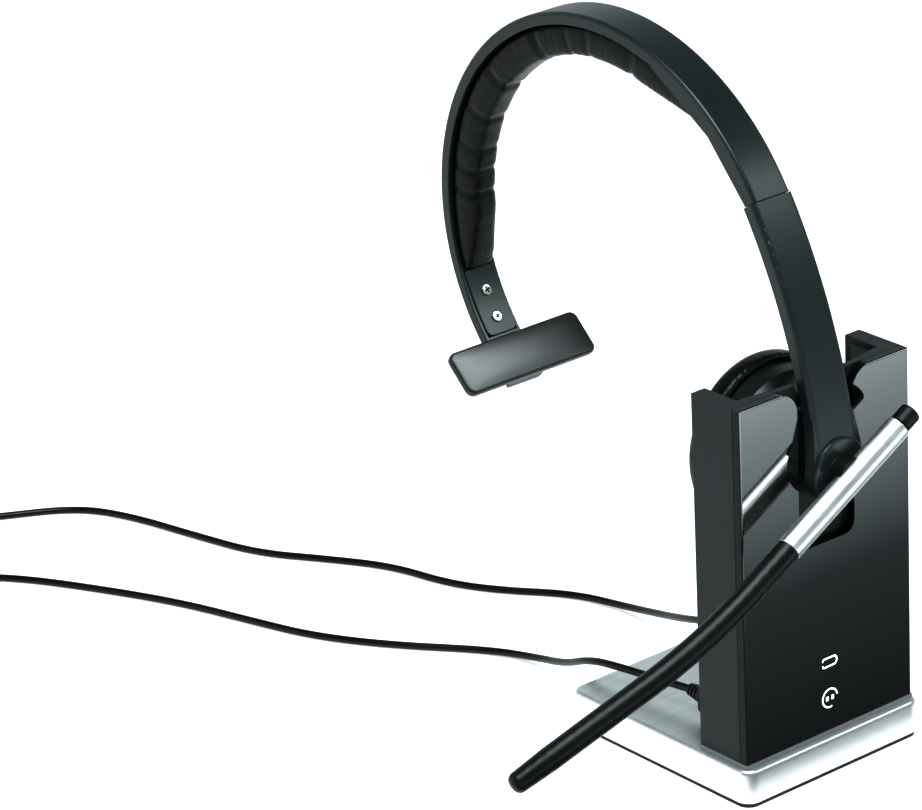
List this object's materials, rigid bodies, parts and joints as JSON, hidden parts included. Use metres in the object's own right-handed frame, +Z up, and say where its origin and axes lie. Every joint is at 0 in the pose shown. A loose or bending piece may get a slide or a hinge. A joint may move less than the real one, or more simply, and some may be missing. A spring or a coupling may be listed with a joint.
{
  "type": "office headset",
  "caption": "One-ear wireless headset with a boom microphone and T-bar, docked by its ear cup in an upright charging stand with two leads.",
  "frame": {"origin": "middle of the foot's underside", "axes": "+Z up, -Y the front of the stand, +X to the right as seen from the front"},
  "size_m": [0.2232, 0.3942, 0.2188],
  "materials": {
    "foot_rubber": "matt",
    "base_aluminium": "fine brushed",
    "steel": "plain",
    "trim_grey": "satin",
    "housing_plastic": "fine matt",
    "gloss_panel": "polished",
    "black_felt": "soft",
    "black_plastic": "satin",
    "gold": "plated",
    "circuit_board": "solder mask",
    "clear": "clear acrylic",
    "cord_plastic": "semi-gloss",
    "cup_plastic": "satin",
    "battery_wrap": "foil",
    "leatherette": "soft grained",
    "band_plastic": "satin",
    "spring_steel": "plain",
    "screw_steel": "nickel plated",
    "bar_rubber": "satin",
    "boom_silver": "brushed",
    "neck_rubber": "satin"
  },
  "bodies": {
    "stand": {"foot_pad": "foot_rubber", "base_plate": "base_aluminium", "ballast_plate": "steel", "base_screws": "steel", "foot_trim": "trim_grey", "upright_housing": "housing_plastic", "front_panel": "gloss_panel", "channel_liners": "black_felt", "cradle_seat": "black_plastic", "charging_pins": "gold", "stand_circuit_board": "circuit_board", "board_screws": "steel", "battery_light_guide": "clear", "headset_light_guide": "clear", "rear_cover": "housing_plastic", "rear_cover_screws": "steel", "power_socket": "steel", "power_plug": "cord_plastic", "power_cord": "cord_plastic", "power_coil": "cord_plastic", "power_far_plug": "cord_plastic", "data_socket": "steel", "data_plug": "cord_plastic", "data_cord": "cord_plastic", "data_coil": "cord_plastic", "data_far_plug": "cord_plastic"},
    "arm": {"slider_arm": "band_plastic", "arm_cover": "band_plastic", "arm_screws": "steel", "slider_tongue": "spring_steel", "boom_washer": "spring_steel"},
    "headband": {"headband_shell": "band_plastic", "headband_liner": "black_plastic", "spring_strip": "spring_steel", "headband_pad": "leatherette", "end_plate": "band_plastic", "plate_screws": "screw_steel", "t_bar_pin": "steel"},
    "t_bar": {"t_bar_core": "black_plastic", "t_bar_pad": "bar_rubber"},
    "ear_cup": {"cup_shell": "cup_plastic", "cup_baffle": "black_plastic", "cup_pivot_pin": "steel", "cup_screws": "steel", "cup_contacts": "gold", "headset_battery": "battery_wrap", "cup_circuit_board": "circuit_board", "speaker_driver": "black_plastic", "speaker_screen": "black_felt", "ear_cushion": "leatherette"},
    "boom": {"boom_sleeve": "boom_silver", "boom_core": "black_plastic", "boom_spindle": "steel", "gooseneck": "neck_rubber", "microphone": "neck_rubber"},
    "call_button": {"call_button": "black_plastic"},
    "volume_rocker": {"volume_rocker": "black_plastic"},
    "power_slider": {"power_slider": "black_plastic"},
    "mute_button": {"mute_button": "black_plastic"}
  },
  "joints": [
    {"name": "headset_lift", "type": "slide", "parent": "stand", "child": "arm", "axis": [0, 0, 1], "range_m": [0, 0.12]},
    {"name": "headband_slide", "type": "hinge", "parent": "arm", "child": "headband", "pos_m": [0, 0.0539, 0.1354], "axis": [-1, 0, 0], "range_deg": [0, 18]},
    {"name": "t_bar_tilt", "type": "hinge", "parent": "headband", "child": "t_bar", "pos_m": [0, 0.10272, 0.09261], "axis": [1, 0, 0], "range_deg": [-10, 10]},
    {"name": "ear_cup_tilt", "type": "hinge", "parent": "arm", "child": "ear_cup", "pos_m": [0, -0.02055, 0.1], "axis": [1, 0, 0], "range_deg": [-5, 5]},
    {"name": "boom_swing", "type": "hinge", "parent": "arm", "child": "boom", "pos_m": [0, -0.04955, 0.1], "axis": [0, 1, 0], "range_deg": [-10, 240]},
    {"name": "mute_press", "type": "slide", "parent": "boom", "child": "mute_button", "axis": [-0.8721, 0, -0.4894], "range_m": [0, 0.0006], "stiffness_N_per_m": 600},
    {"name": "call_press", "type": "slide", "parent": "ear_cup", "child": "call_button", "axis": [-1, 0, 0], "range_m": [0, 0.0006], "stiffness_N_per_m": 600},
    {"name": "volume_rock", "type": "hinge", "parent": "ear_cup", "child": "volume_rocker", "pos_m": [0.01756, -0.01945, 0.11275], "axis": [0, 1, 0], "range_deg": [-2, 2], "stiffness_Nm_per_rad": 0.02},
    {"name": "power_slide", "type": "slide", "parent": "ear_cup", "child": "power_slider", "axis": [0, 1, 0], "range_m": [0, 0.0016]}
  ]
}
